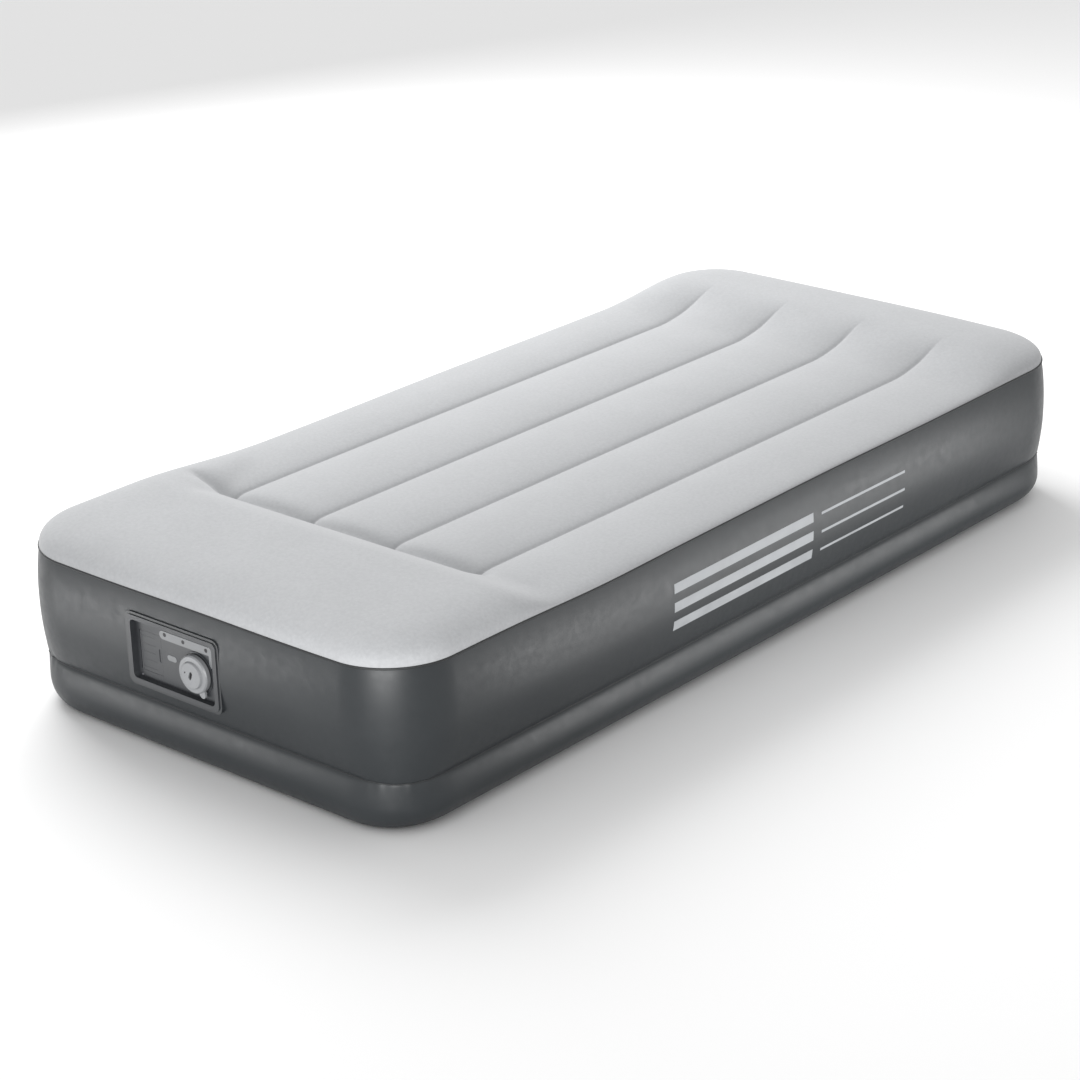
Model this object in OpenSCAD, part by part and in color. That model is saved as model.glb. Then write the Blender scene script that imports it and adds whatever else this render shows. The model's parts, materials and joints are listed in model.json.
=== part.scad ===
// Single air mattress with a raised pillow end, five lengthwise channels,
// a two-tier side wall and a built-in mains pump in one short end.
// Millimetres. Length along Y, pump end at -Y, width along X, underside at z = 0.

/* [Mattress] */
// Width over the side bulges
width = 940; // [900:5:1000]
// Length over the end bulges
length = 1965; // [1850:5:2050]
// Plan radius of the corners at the bulge
corner_r = 134; // [128:1:160]
// Height of the seam between the top and the side wall
seam_z = 289; // [280:1:296]
// Height of the pinched waist between the two tiers
waist_z = 90; // [86:1:93]
// Thickness of the laminated sheets
sheet = 2; // [1.6:0.1:2.4]

/* [Sleeping surface] */
// Distance between neighbouring lengthwise grooves
groove_pitch = 193; // [180:1:200]
// Depth of the lengthwise grooves below their channels
groove_depth = 10; // [6:1:14]
// Height of the channels' crests above the seam
channel_rise = 11; // [8:1:14]
// Height of the smooth foot section above the seam
foot_rise = 44; // [30:1:48]
// Height of the raised pillow end above the seam
pillow_rise = 43; // [34:1:48]
// Sideways offset of the set of grooves
groove_shift = -14; // [-20:1:20]
// Distance of the cross groove from the middle
cross_y = 596; // [560:2:620]
// Width of the rounded rim
rim_w = 110; // [90:1:118]

/* [Pump] */
// Place of the pump's middle across the end
pump_x = -39; // [-80:1:80]
// Height of the pump's middle
pump_z = 188; // [182:0.5:192]
// Width of the pump's welded collar
collar_w = 222; // [222:1:226]
// Height of the pump's welded collar
collar_h = 131; // [131:1:134]
// Depth of the pump's sealed case
tub_depth = 150; // [150:1:160]
// Radius of the selector dial
dial_r = 33; // [30:0.5:33.5]

/* [Moving parts] */
// Radius of the spindle behind the dial
spindle_r = 4; // [3.5:0.1:4.5]
// Radius of the cord door's hinge pin
door_pin_r = 1; // [0.9:0.05:1.1]
// Radius of the motor's shaft
shaft_r = 2.5; // [2:0.1:3]
// Radius of the valve's stem
stem_r = 2; // [1.8:0.1:2.2]
// Radial running clearance of every moving fit
run = 0.05; // [0.02:0.01:0.08]

/* [Hidden] */
$fn = 96;

DARK = [0.27, 0.29, 0.30];
LIGHT = [0.76, 0.77, 0.78];
BLACK = [0.08, 0.08, 0.09];
PANEL = [0.24, 0.25, 0.26];
GREY = [0.62, 0.63, 0.64];
STEEL = [0.72, 0.72, 0.74];
COPPER = [0.72, 0.45, 0.25];
CASE = [0.16, 0.17, 0.18];

seam_inset = 8;                      // seam line inside the bulge
waist_inset = 21;                    // waist line inside the bulge
roll_inset = 9;                      // lower roll inside the bulge
bead_r = 2.6;                        // half width of a welded bead
seam_h = 4;                          // height of the top seam's bead
waist_h = 3;                         // height of the waist's bead
top_z = seam_z + seam_h / 2;         // where the top sheet starts
// The side bulge is one arc through the seam and the waist.
bulge_r = 361;
bulge_z = 213;
roll_r = 48;                         // radius of the lower roll's underside
shoulder_r = 74;                     // radius of its shoulder, up to the waist
hx = width / 2 - seam_inset;         // half sizes and corner radius of the seam's outline
hy = length / 2 - seam_inset;
seam_r = corner_r - seam_inset;
tie_inset = 95;                      // inner wall of the lower tier

groove_x = [for (i = [-1.5:1:1.5]) i * groove_pitch + groove_shift];
web_y0 = 40 - cross_y;                // the webs start past the cross groove
web_y1 = 640;
web_top = seam_z - 2.5;
strip_w = 24;
strip_t = 1.2;

dial = [48, -9];                     // places in the pump's own plane
rotor = [-40, -3];
panel_front = -10;                   // depths behind the bulge plane
panel_back = -13;
frame_front = 2;
frame_back = -18;
ledge_w = 184;
ledge_h = 95;
window_w = 194;
window_h = 105;
frame_w = 212;
frame_h = 121;
case_w = 206;
case_h = 115;
case_t = 2.5;
door_x0 = -89;                       // door opening in the face panel
door_x1 = -37;
door_y0 = -40;
door_y1 = 32;
hinge = [-85.8, -11.4];              // place and depth of the door's hinge axis
hinge_r = 2.2;
door_gap = 0.4;
bin_depth = -70;                     // outside of the cord store's floor
bin_floor = 1.6;
gland = [-62, -20];
gland_r = 5;
chamber_r = 31.5;
drum_r = 28;
valve_r = 15;
screw_at = [88, 49.6];
boss_at = [95, 50];
lead_r = 0.9;
spring_top = -124;                   // where the valve's spring pushes on its stem
marks = [[-26, 38], [18, 37], [72, 37]];

// ---------- outlines ----------

// Rectangle with round corners, centred.
module round_rect(w, h, r) {
    square([w - 2 * r, h], center = true);
    square([w, h - 2 * r], center = true);
    for (sx = [-1, 1], sy = [-1, 1])
        translate([sx * (w / 2 - r), sy * (h / 2 - r)]) circle(r);
}

// Slot with round ends, centred, its length along X.
module slot2d(l, w) {
    square([l - w, w], center = true);
    for (s = [-1, 1]) translate([s * (l - w) / 2, 0]) circle(w / 2);
}

// Carries an outline round the mattress: its x is the distance from a corner's
// centre and its y is the height.
module round_the_sides() {
    cx = width / 2 - corner_r;
    cy = length / 2 - corner_r;
    for (c = [[1, 1, 0], [-1, 1, 90], [-1, -1, 180], [1, -1, 270]])
        translate([c[0] * cx, c[1] * cy, 0]) rotate([0, 0, c[2]])
            rotate_extrude(angle = 90) children();
    for (s = [0, 180]) rotate([0, 0, s]) translate([cx, 0, 0]) rotate([90, 0, 0])
        linear_extrude(height = 2 * cy, center = true) children();
    for (s = [90, 270]) rotate([0, 0, s]) translate([cy, 0, 0]) rotate([90, 0, 0])
        linear_extrude(height = 2 * cx, center = true) children();
}

// Skin of the arc (cx, cz, r) between two heights, right of x0.
module arc_skin(cx, cz, r, z0, z1, x0) {
    intersection() {
        difference() {
            translate([cx, cz]) circle(r, $fn = 240);
            translate([cx, cz]) circle(r - sheet, $fn = 240);
        }
        translate([x0, z0]) square([corner_r, z1 - z0]);
    }
}

// Welded bead at an inset and a height.
module bead(inset, z, h) {
    intersection() {
        translate([corner_r - inset, z]) circle(bead_r, $fn = 32);
        translate([corner_r - inset - bead_r, z - h / 2]) square([2 * bead_r, h]);
    }
}

// The pump's own frame: X across, Y up, Z out of the end wall.
module at_pump() {
    translate([pump_x, -length / 2, pump_z]) rotate([90, 0, 0]) children();
}

// Solid from depth z0 to z1 over an outline in the pump's plane.
module slab(z0, z1) {
    translate([0, 0, z0]) linear_extrude(height = z1 - z0) children();
}

module tube(r1, r0, z0, z1) {
    slab(z0, z1) difference() {
        circle(r1);
        circle(r0);
    }
}

// ---------- shape of the sleeping surface ----------

function step(a, b, v) = let (t = max(0, min(1, (v - a) / (b - a)))) t * t * (3 - 2 * t);

// Distance inside the seam's outline.
function inset_at(x, y) =
    let (qx = abs(x) - (hx - seam_r), qy = abs(y) - (hy - seam_r))
    seam_r - ((qx > 0 && qy > 0) ? norm([qx, qy]) : max(qx, qy));

// Rounded rim, 0 at the seam and 1 past the rim's width.
function rim(d) = let (t = max(0, min(1, d / rim_w))) pow(1 - pow(1 - t, 2.4), 1 / 2.4);

// 1 between the cross groove and the pillow end, where the channels run.
function channels(y) = step(-cross_y - 20, -cross_y + 10, y) * (1 - step(660, 800, y));

// Height of the crests above the seam along the length.
function crest(y) =
    channel_rise + (foot_rise - channel_rise) * (1 - step(-cross_y - 104, -cross_y - 4, y))
    + (pillow_rise - channel_rise) * step(620, 830, y);

// How far a point lies from its nearest groove: 0 in the groove, 1 on a crest.
function across(x) = min(1, min([for (g = groove_x) abs(x - g)]) / (groove_pitch / 2));

// Cross groove, 1 on its line and fading out towards the sides.
function cross_line(x, y) = exp(-pow((y + cross_y) / 20, 2)) * (1 - step(330, 420, abs(x)));

function top_at(x, y) =
    top_z + rim(inset_at(x, y))
    * (crest(y) - seam_h / 2 - groove_depth * channels(y) * pow(1 - across(x), 2.2)
       - 14 * cross_line(x, y));

// Half width of the seam's outline at a distance along the mattress.
function half_at(y) =
    let (q = abs(y) - (hy - seam_r))
    hx - seam_r + (q > 0 ? sqrt(max(0, seam_r * seam_r - q * q)) : seam_r);

// Columns across the width: close together at the rim, with one on every groove.
edge_cols = [0, 3, 11, 28, 55, 92, 130];
cols = [for (x = concat(
    [for (e = edge_cols) e - hx],
    [for (i = [0:2], t = [0, 0.14, 0.32, 0.5, 0.68, 0.86]) groove_x[i] + t * groove_pitch],
    [groove_x[3], groove_x[3] + 28],
    [for (i = [len(edge_cols) - 1:-1:0]) hx - edge_cols[i]])) x / hx];
end_rows = [0, 2, 8, 20, 36, 58, 85, 120, 160, 205, 250];
rows = concat([for (e = end_rows) e - hy],
              [for (o = [-80, -50, -28, -12, 0, 12, 28, 50, 100]) o - cross_y],
              [for (i = [0:6]) i * 140 - 320],
              [580, 620, 660, 695],
              [for (i = [len(end_rows) - 1:-1:0]) hy - end_rows[i]]);

module top_sheet() {
    n = len(cols);
    m = len(rows);
    inner = 1 - sheet / hx;
    outer_pts = [for (y = rows, c = cols) let (x = c * half_at(y)) [x, y, top_at(x, y)]];
    inner_pts = [for (y = rows, c = cols)
        let (x = c * half_at(y), d = inset_at(x, y))
        [x * inner, y * (1 - sheet / hy), top_at(x, y) - sheet * min(1, d / 8)]];
    upper = [for (j = [0:m - 2], i = [0:n - 2])
        let (a = j * n + i) each [[a, a + n, a + 1], [a + 1, a + n, a + n + 1]]];
    lower = [for (f = upper) [f[2] + n * m, f[1] + n * m, f[0] + n * m]];
    edge = concat([for (i = [0:n - 2]) i], [for (j = [0:m - 2]) j * n + n - 1],
                  [for (i = [n - 1:-1:1]) (m - 1) * n + i], [for (j = [m - 1:-1:1]) j * n]);
    k = len(edge);
    sides = [for (i = [0:k - 1])
        let (a = edge[i], b = edge[(i + 1) % k])
        each [[a, b, a + n * m], [b, b + n * m, a + n * m]]];
    color(LIGHT) polyhedron(concat(outer_pts, inner_pts), concat(upper, lower, sides));
}

// ---------- air chamber ----------

module side_wall() {
    color(DARK) difference() {
        round_the_sides()
            arc_skin(corner_r - bulge_r, bulge_z, bulge_r, waist_z + waist_h / 2,
                     seam_z - seam_h / 2, corner_r - 60);
        at_pump() slab(-40, 20) round_rect(collar_w, collar_h, 14);
    }
}

module lower_wall() {
    x0 = corner_r - roll_inset - roll_r;
    color(DARK) round_the_sides() {
        arc_skin(x0, roll_r, roll_r, 0, roll_r, x0);
        arc_skin(corner_r - roll_inset - shoulder_r, roll_r, shoulder_r, roll_r,
                 waist_z - waist_h / 2, x0);
    }
}

module base_sheet() {
    inset = roll_inset + roll_r;
    color(DARK) linear_extrude(height = sheet)
        round_rect(width - 2 * inset, length - 2 * inset, corner_r - inset);
}

module top_seam() {
    color(BLACK) round_the_sides() bead(seam_inset + 1, seam_z, seam_h);
}

module waist_seam() {
    color(BLACK) round_the_sides() bead(waist_inset + 1, waist_z, waist_h);
}

// Inner wall of the lower tier, which holds the waist in.
module waist_tie() {
    x1 = corner_r - waist_inset - 1 - bead_r;
    x0 = corner_r - tie_inset;
    color(GREY) round_the_sides() polygon([
        [x0, sheet], [x0 + sheet, sheet], [x0 + sheet, waist_z - 1], [x1, waist_z - 1],
        [x1, waist_z + 1], [x0, waist_z + 1]]);
}

module beam_web(i) {
    color(GREY) difference() {
        translate([groove_x[i] - sheet / 2, web_y0, sheet + strip_t])
            cube([sheet, web_y1 - web_y0, web_top - sheet - strip_t]);
        for (y = [web_y0 + 100:150:web_y1 - 100])
            translate([groove_x[i], y, 140]) rotate([0, 90, 0])
                cylinder(r = 35, h = 10, center = true);
    }
}
module beam_web_1() { beam_web(0); }
module beam_web_2() { beam_web(1); }
module beam_web_3() { beam_web(2); }
module beam_web_4() { beam_web(3); }

module cross_web() {
    half = 300;
    color(GREY) translate([-half, -cross_y - sheet / 2, sheet + strip_t])
        cube([2 * half, sheet, seam_z - 15 - sheet - strip_t]);
}

// Strips that weld the webs to the base sheet.
module weld_strips() {
    color(GREY) for (x = groove_x)
        translate([x - strip_w / 2, web_y0 + 14, sheet])
            cube([strip_w, web_y1 - web_y0 - 14, strip_t]);
}

// ---------- pump: face ----------

// Soft ring that is welded into the end wall and holds the pump's frame.
module pump_collar() {
    color(DARK) at_pump() slab(frame_back, 0) difference() {
        round_rect(collar_w, collar_h, 14);
        round_rect(frame_w, frame_h, 10);
    }
}

module pump_frame() {
    color(PANEL) at_pump() difference() {
        slab(frame_back, frame_front) round_rect(frame_w, frame_h, 10);
        slab(panel_back, frame_front + 1) round_rect(window_w, window_h, 8);
        slab(frame_back - 1, panel_back + 1) round_rect(ledge_w, ledge_h, 4);
        each_corner(boss_at) {
            translate([0, 0, frame_back - 1]) cylinder(r = 1.5, h = 6, $fn = 32);
            translate([0, 0, panel_back - 1.5]) cylinder(r = 2.4, h = 3, $fn = 32);
        }
        each_corner(screw_at)
            translate([0, 0, frame_back - 1]) cylinder(r = 1.2, h = 8, $fn = 32);
    }
}

module each_corner(p) {
    for (sx = [-1, 1], sy = [-1, 1]) translate([sx * p[0], sy * p[1], 0]) children();
}

module face_panel() {
    color(PANEL) at_pump() difference() {
        slab(panel_back, panel_front) difference() {
            round_rect(window_w - 0.2, window_h - 0.2, 7.9);
            translate([door_x0, door_y0]) square([door_x1 - door_x0, door_y1 - door_y0]);
            translate(dial) circle(7);
            for (a = [0:36:359]) translate(dial) rotate(a) translate([22, 0]) circle(3);
            each_corner(screw_at) circle(1.2);
        }
        translate([hinge[0], door_y0 - 3, hinge[1]]) rotate([-90, 0, 0])
            cylinder(r = door_pin_r, h = door_y1 - door_y0 + 6, $fn = 32);
    }
}

// Pale strip along the top of the face, turned down round the dial.
module icon_strip() {
    color(GREY) at_pump() slab(panel_front, panel_front + 0.8) difference() {
        union() {
            translate([-31, 29]) square([119, 15]);
            translate([78, 8]) square([14, 29]);
            translate([85, 37]) circle(7);
            translate([-31, 36.5]) circle(7.5);
        }
        translate(dial) circle(dial_r + 4.5);
        for (m = marks) translate(m) circle(2.2);
    }
}

// Plain dots that show the dial's three positions.
module position_marks() {
    color(BLACK) at_pump() slab(panel_front, panel_front + 0.7)
        for (m = marks) translate(m) circle(2.2);
}

module blank_plate() {
    color(GREY) at_pump() slab(panel_front, panel_front + 0.6)
        translate([-12, -1]) slot2d(22, 10);
}

module dial_bezel() {
    color(PANEL) at_pump() translate([dial[0], dial[1], 0])
        tube(dial_r + 4, dial_r + 1.5, panel_front, panel_front + 1.4);
}

module panel_screws() {
    color(STEEL) at_pump() each_corner(screw_at) {
        translate([0, 0, frame_back + 1]) cylinder(r = 1.2, h = panel_front - frame_back - 1, $fn = 32);
        translate([0, 0, panel_front]) difference() {
            cylinder(r = 2.1, h = 1.2, $fn = 32);
            for (a = [0, 90]) rotate([0, 0, a]) translate([-1.5, -0.25, 0.5]) cube([3, 0.5, 2]);
        }
    }
}

module case_screws() {
    color(STEEL) at_pump() each_corner(boss_at) {
        translate([0, 0, -34]) cylinder(r = 1.5, h = 34 + panel_back - 1.5, $fn = 32);
        translate([0, 0, panel_back - 1.5]) cylinder(r = 2.4, h = 1.4, $fn = 32);
    }
}

// ---------- pump: case and cord store ----------

// Sealed case that hangs in the air chamber behind the frame.
module pump_case() {
    color(CASE) at_pump() difference() {
        union() {
            difference() {
                slab(-tub_depth, frame_back) round_rect(case_w, case_h, 10);
                slab(case_t - tub_depth, frame_back + 1)
                    round_rect(case_w - 2 * case_t, case_h - 2 * case_t, 8);
            }
            intersection() {
                each_corner(boss_at) translate([0, 0, -42]) cylinder(r = 5, h = 42 + frame_back);
                slab(-45, frame_back) round_rect(case_w - 2, case_h - 2, 9);
            }
        }
        each_corner(boss_at) translate([0, 0, -34]) cylinder(r = 1.5, h = 20, $fn = 32);
        translate([dial[0], dial[1], -tub_depth - 1]) cylinder(r = valve_r, h = 5);
    }
}

// Open box behind the door, where the mains cord is put away.
module cord_bin() {
    wall = 2;
    color(CASE) at_pump() difference() {
        slab(bin_depth, panel_back) translate([door_x0 - wall, door_y0 - wall])
            square([door_x1 - door_x0 + 2 * wall, door_y1 - door_y0 + 2 * wall]);
        slab(bin_depth + bin_floor, panel_back + 1) translate([door_x0, door_y0])
            square([door_x1 - door_x0, door_y1 - door_y0]);
        translate([gland[0], gland[1], bin_depth - 1]) cylinder(r = gland_r, h = 4);
    }
}

// Rubber gland in the floor of the cord store, with the hole for the cord.
module cord_gland() {
    flange = 2.5;
    cord = 2.6;
    inside = bin_depth + bin_floor;
    color(BLACK) at_pump() translate([gland[0], gland[1], 0]) {
        tube(gland_r, cord, bin_depth, inside);
        tube(gland_r + flange, cord, inside, inside + 2);
        tube(gland_r + flange, cord, bin_depth - 2, bin_depth);
    }
}

module cord_door() {
    y0 = door_y0 + door_gap;
    y1 = door_y1 - door_gap;
    color(PANEL) at_pump() difference() {
        union() {
            slab(hinge[1] - 1.2, hinge[1] + 1.2) translate([hinge[0], y0])
                square([door_x1 - door_gap - hinge[0], y1 - y0]);
            translate([hinge[0], y0, hinge[1]]) rotate([-90, 0, 0])
                cylinder(r = hinge_r, h = y1 - y0, $fn = 48);
        }
        translate([hinge[0], y0 - 1, hinge[1]]) rotate([-90, 0, 0])
            cylinder(r = door_pin_r + run, h = y1 - y0 + 2, $fn = 32);
        // finger scoop at the free edge
        slab(hinge[1] + 0.2, hinge[1] + 3) translate([-41, -4]) rotate(90) slot2d(24, 5);
        // ribs moulded as shallow grooves
        for (y = [-28:14:28]) slab(hinge[1] + 0.9, hinge[1] + 3)
            translate([-66, y - 4]) slot2d(30, 1.6);
    }
}

module door_pin() {
    color(STEEL) at_pump() translate([hinge[0], door_y0 - 3, hinge[1]]) rotate([-90, 0, 0])
        cylinder(r = door_pin_r, h = door_y1 - door_y0 + 6, $fn = 32);
}

// ---------- pump: selector dial ----------

module at_dial() {
    at_pump() translate([dial[0], dial[1], 0]) children();
}

module dial_knob() {
    back = -7;
    color(GREY) at_dial() difference() {
        union() {
            rotate_extrude() polygon([
                [0, back], [dial_r, back], [dial_r, 0], [dial_r - 2, 2.5], [24, 3],
                [22.5, 6.4], [21.5, 7], [0, 7]]);
            rotate([0, 0, -62]) slab(back + 1.2, -1.5) {
                translate([20, -7]) square([17, 14]);
                translate([37, 0]) circle(6);
            }
        }
        slab(3.5, 8) rotate(70) slot2d(15, 7);
        slab(5, 8) translate([-13, 3]) circle(1.7);
        translate([0, 0, back - 1]) cylinder(r = spindle_r, h = 7, $fn = 48);
        // hollow back of the moulding
        tube(dial_r - 3, 12, back - 1, back + 5);
    }
}

module dial_insert() {
    color(BLACK) at_dial() {
        slab(3.5, 4.4) rotate(70) slot2d(15, 7);
        slab(5, 5.6) translate([-13, 3]) circle(1.7);
    }
}

module dial_spindle() {
    color(STEEL) at_dial() translate([0, 0, -96]) cylinder(r = spindle_r, h = 95, $fn = 48);
}

module spindle_bush() {
    color(GREY) at_dial() {
        tube(7, spindle_r + run, -24, panel_front);
        tube(10, spindle_r + run, panel_front, panel_front + 1.5);
    }
}

module spindle_seal() {
    color(BLACK) at_dial() translate([0, 0, -25.6]) rotate_extrude()
        translate([spindle_r + 1.3, 0]) circle(1.3, $fn = 24);
}

// Two-lobed cam that works the switch at each end of the dial's turn.
module switch_cam() {
    color(GREY) at_dial() slab(-29.6, -27.4) difference() {
        union() {
            circle(9);
            for (a = [45, 135]) rotate(a) translate([9, 0]) circle(4.6);
        }
        circle(spindle_r);
    }
}

module selector_drum() {
    color(GREY) at_dial() difference() {
        slab(-98, -34) difference() {
            circle(drum_r);
            circle(spindle_r);
        }
        tube(drum_r - 2.5, 8, -96, -33);
        // side port and the floor's port
        rotate([0, 0, 150]) translate([0, -9, -92]) cube([40, 18, 22]);
        translate([0, -17, -99]) cylinder(r = 6, h = 4);
    }
}

module drum_chamber() {
    color(CASE) at_dial() difference() {
        union() {
            tube(chamber_r, drum_r + 0.4, -104, -31);
            tube(chamber_r, 20, -104, -101.5);
        }
        translate([-40, 11.5, -98]) cube([30, 18, 14]);
    }
}

// ---------- pump: blower ----------

module at_rotor() {
    at_pump() translate([rotor[0], rotor[1], 0]) children();
}

module volute() {
    color(CASE) difference() {
        union() {
            at_rotor() slab(-112, -80) circle(42);
            at_pump() translate([-10, 0, -100]) cube([40, 22, 18]);
        }
        at_rotor() slab(-110, -79) circle(39.5);
        at_rotor() slab(-113, -109) circle(4);
        at_pump() translate([-25, 2, -98]) cube([60, 18, 14]);
        at_dial() slab(-105, -75) circle(chamber_r);
    }
}

module volute_cover() {
    color(CASE) at_rotor() tube(42, 13, -80, -78);
}

module impeller() {
    color(LIGHT) at_rotor() difference() {
        union() {
            slab(-108, -106) circle(37);
            slab(-106, -86) circle(8);
            for (a = [0:40:359]) rotate([0, 0, a]) translate([7, 0, -106])
                rotate([0, 0, 28]) translate([0, -0.8, 0]) cube([29, 1.6, 18]);
        }
        slab(-109, -85) circle(shaft_r);
    }
}

module motor_shaft() {
    color(STEEL) at_rotor() slab(-145, -85.5) circle(shaft_r, $fn = 48);
}

module armature() {
    color(COPPER) at_rotor() slab(-137, -120) difference() {
        circle(15);
        circle(shaft_r);
        for (a = [0:45:359]) rotate(a) translate([8, -1]) square([8, 2]);
    }
}

module commutator() {
    color(COPPER) at_rotor() slab(-141.5, -138) difference() {
        circle(6);
        circle(shaft_r);
    }
}

module motor_can() {
    color(STEEL) at_rotor() {
        tube(21, 19.5, -143, -112);
        tube(21, 6, -114, -112);
    }
}

module motor_magnets() {
    color(BLACK) at_rotor() slab(-138, -119) difference() {
        circle(19.5);
        circle(16.2);
        for (a = [0, 90]) rotate(a) square([50, 6], center = true);
    }
}

module motor_end_cap() {
    color(BLACK) at_rotor() tube(21, 6, -145.5, -143);
}

module motor_bearings() {
    color(COPPER) at_rotor() {
        tube(6, shaft_r + run, -115, -112);
        tube(6, shaft_r + run, -145.5, -142.4);
    }
}

module brush_holders() {
    color(BLACK) at_rotor() for (s = [0, 180]) rotate([0, 0, s]) translate([6.4, -2, -143])
        cube([8, 4, 5]);
}

module motor_bracket() {
    color(CASE) at_pump() slab(-131, -127) difference() {
        translate([rotor[0] - 30, -55]) square([60, 110]);
        translate(rotor) circle(23.5);
    }
}

module motor_ring() {
    color(BLACK) at_rotor() tube(23.5, 21, -132, -126);
}

module microswitch() {
    color(BLACK) at_dial() {
        slab(-29.6, -18) translate([-10, 18]) square([20, 9]);
        slab(-29.2, -27.8) translate([-1.5, 15.2]) square([3, 2.8]);
    }
}

// Round wire through a list of corners.
module wire(points) {
    for (i = [0:len(points) - 2]) {
        d = points[i + 1] - points[i];
        translate(points[i]) rotate([0, acos(d[2] / norm(d)), atan2(d[1], d[0])])
            cylinder(r = lead_r, h = norm(d), $fn = 24);
        if (i > 0) translate(points[i]) sphere(lead_r, $fn = 24);
    }
}

module motor_leads() {
    color([0.5, 0.1, 0.1]) at_pump() {
        wire([[gland[0], gland[1], -72], [gland[0], gland[1], -75], [-20, -20, -75], [-20, 12, -75],
              [-20, 12, -22], [37, 12, -22]]);
        wire([[37, 15, -26], [8, 15, -26], [8, 44, -26], [8, 44, -141], [-40, 44, -141],
              [-40, 18, -141]]);
    }
}

// ---------- pump: inflation valve ----------

module valve_duct() {
    color(CASE) at_dial() tube(22, 20, case_t - tub_depth, -104);
}

module valve_seat() {
    color(BLACK) at_dial() {
        tube(22, valve_r, -tub_depth - 4, -tub_depth);
        difference() {
            union() {
                slab(-tub_depth - 4, -tub_depth - 2) for (a = [0:120:359]) rotate(a)
                    translate([3, -1.5]) square([valve_r - 2.5, 3]);
                slab(-tub_depth - 4, -tub_depth + 4) circle(5);
            }
            slab(-tub_depth - 5, -tub_depth + 5) circle(stem_r + run);
        }
    }
}

module valve_flap() {
    color(DARK) at_dial() {
        slab(-tub_depth - 7, -tub_depth - 4.3) circle(17.5);
        slab(-tub_depth - 5, spring_top) circle(stem_r);
        slab(spring_top, spring_top + 2.5) circle(6);
    }
}

// Closing spring: a round wire along a helix, with flat end turns.
module valve_spring() {
    turns = 6;
    per_turn = 16;
    sides = 8;
    coil_r = 4.3;
    wire_r = 0.6;
    z0 = -tub_depth + 4 + wire_r;
    z1 = spring_top - 0.3 - wire_r;
    n = turns * per_turn;
    function rise(i) = z0 + (z1 - z0) * step(0, 1, i / n) * 0.3 + (z1 - z0) * (i / n) * 0.7;
    pts = [for (i = [0:n], k = [0:sides - 1])
        let (a = 360 * i / per_turn, b = 360 * k / sides, r = coil_r + wire_r * cos(b))
        [r * cos(a), r * sin(a), rise(i) + wire_r * sin(b)]];
    skin = [for (i = [0:n - 1], k = [0:sides - 1])
        let (a = i * sides + k, b = i * sides + (k + 1) % sides)
        [a, b, b + sides, a + sides]];
    ends = [[for (k = [sides - 1:-1:0]) k], [for (k = [0:sides - 1]) n * sides + k]];
    color(STEEL) at_dial() polyhedron(pts, concat(skin, ends));
}

top_sheet();
side_wall();
lower_wall();
base_sheet();
top_seam();
waist_seam();
waist_tie();
beam_web_1();
beam_web_2();
beam_web_3();
beam_web_4();
cross_web();
weld_strips();
pump_collar();
pump_frame();
face_panel();
icon_strip();
position_marks();
blank_plate();
dial_bezel();
panel_screws();
case_screws();
pump_case();
cord_bin();
cord_gland();
cord_door();
door_pin();
dial_knob();
dial_insert();
dial_spindle();
spindle_bush();
spindle_seal();
switch_cam();
selector_drum();
drum_chamber();
volute();
volute_cover();
impeller();
motor_shaft();
armature();
commutator();
motor_can();
motor_magnets();
motor_end_cap();
motor_bearings();
brush_holders();
motor_bracket();
motor_ring();
microswitch();
motor_leads();
valve_duct();
valve_seat();
valve_flap();
valve_spring();
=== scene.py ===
import json
import math

import bmesh
import bpy
import numpy as np
from mathutils import Matrix, Vector


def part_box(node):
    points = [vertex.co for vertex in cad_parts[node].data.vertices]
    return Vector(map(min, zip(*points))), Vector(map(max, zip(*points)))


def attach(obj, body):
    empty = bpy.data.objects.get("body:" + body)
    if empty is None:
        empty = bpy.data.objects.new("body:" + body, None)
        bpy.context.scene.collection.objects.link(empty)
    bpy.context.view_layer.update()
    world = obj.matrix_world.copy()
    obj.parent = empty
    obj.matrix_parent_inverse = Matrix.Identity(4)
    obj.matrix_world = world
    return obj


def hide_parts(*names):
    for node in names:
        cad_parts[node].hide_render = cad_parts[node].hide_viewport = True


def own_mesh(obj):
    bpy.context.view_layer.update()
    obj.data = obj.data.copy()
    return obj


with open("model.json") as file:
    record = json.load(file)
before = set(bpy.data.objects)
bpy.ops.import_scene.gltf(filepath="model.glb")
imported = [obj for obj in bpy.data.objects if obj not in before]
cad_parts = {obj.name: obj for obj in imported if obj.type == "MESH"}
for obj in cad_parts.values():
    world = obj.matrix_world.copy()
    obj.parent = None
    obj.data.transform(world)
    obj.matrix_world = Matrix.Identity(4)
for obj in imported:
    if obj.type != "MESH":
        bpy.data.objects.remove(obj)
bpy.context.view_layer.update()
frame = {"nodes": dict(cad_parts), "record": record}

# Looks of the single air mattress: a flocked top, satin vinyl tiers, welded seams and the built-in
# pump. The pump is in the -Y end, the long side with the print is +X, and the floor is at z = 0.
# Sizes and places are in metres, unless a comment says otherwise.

MM = 0.001

# ---------------------------------------------------------------- places read from the frame

wall_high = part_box("side_wall")[1]
pump_low, pump_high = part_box("pump_frame")
HALF_W = wall_high.x
HALF_L = wall_high.y
SEAM_Z = sum(corner.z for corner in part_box("top_seam")) / 2
WAIST_Z = sum(corner.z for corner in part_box("waist_seam")) / 2
PUMP_X = (pump_low.x + pump_high.x) / 2
PUMP_Z = (pump_low.z + pump_high.z) / 2

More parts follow.
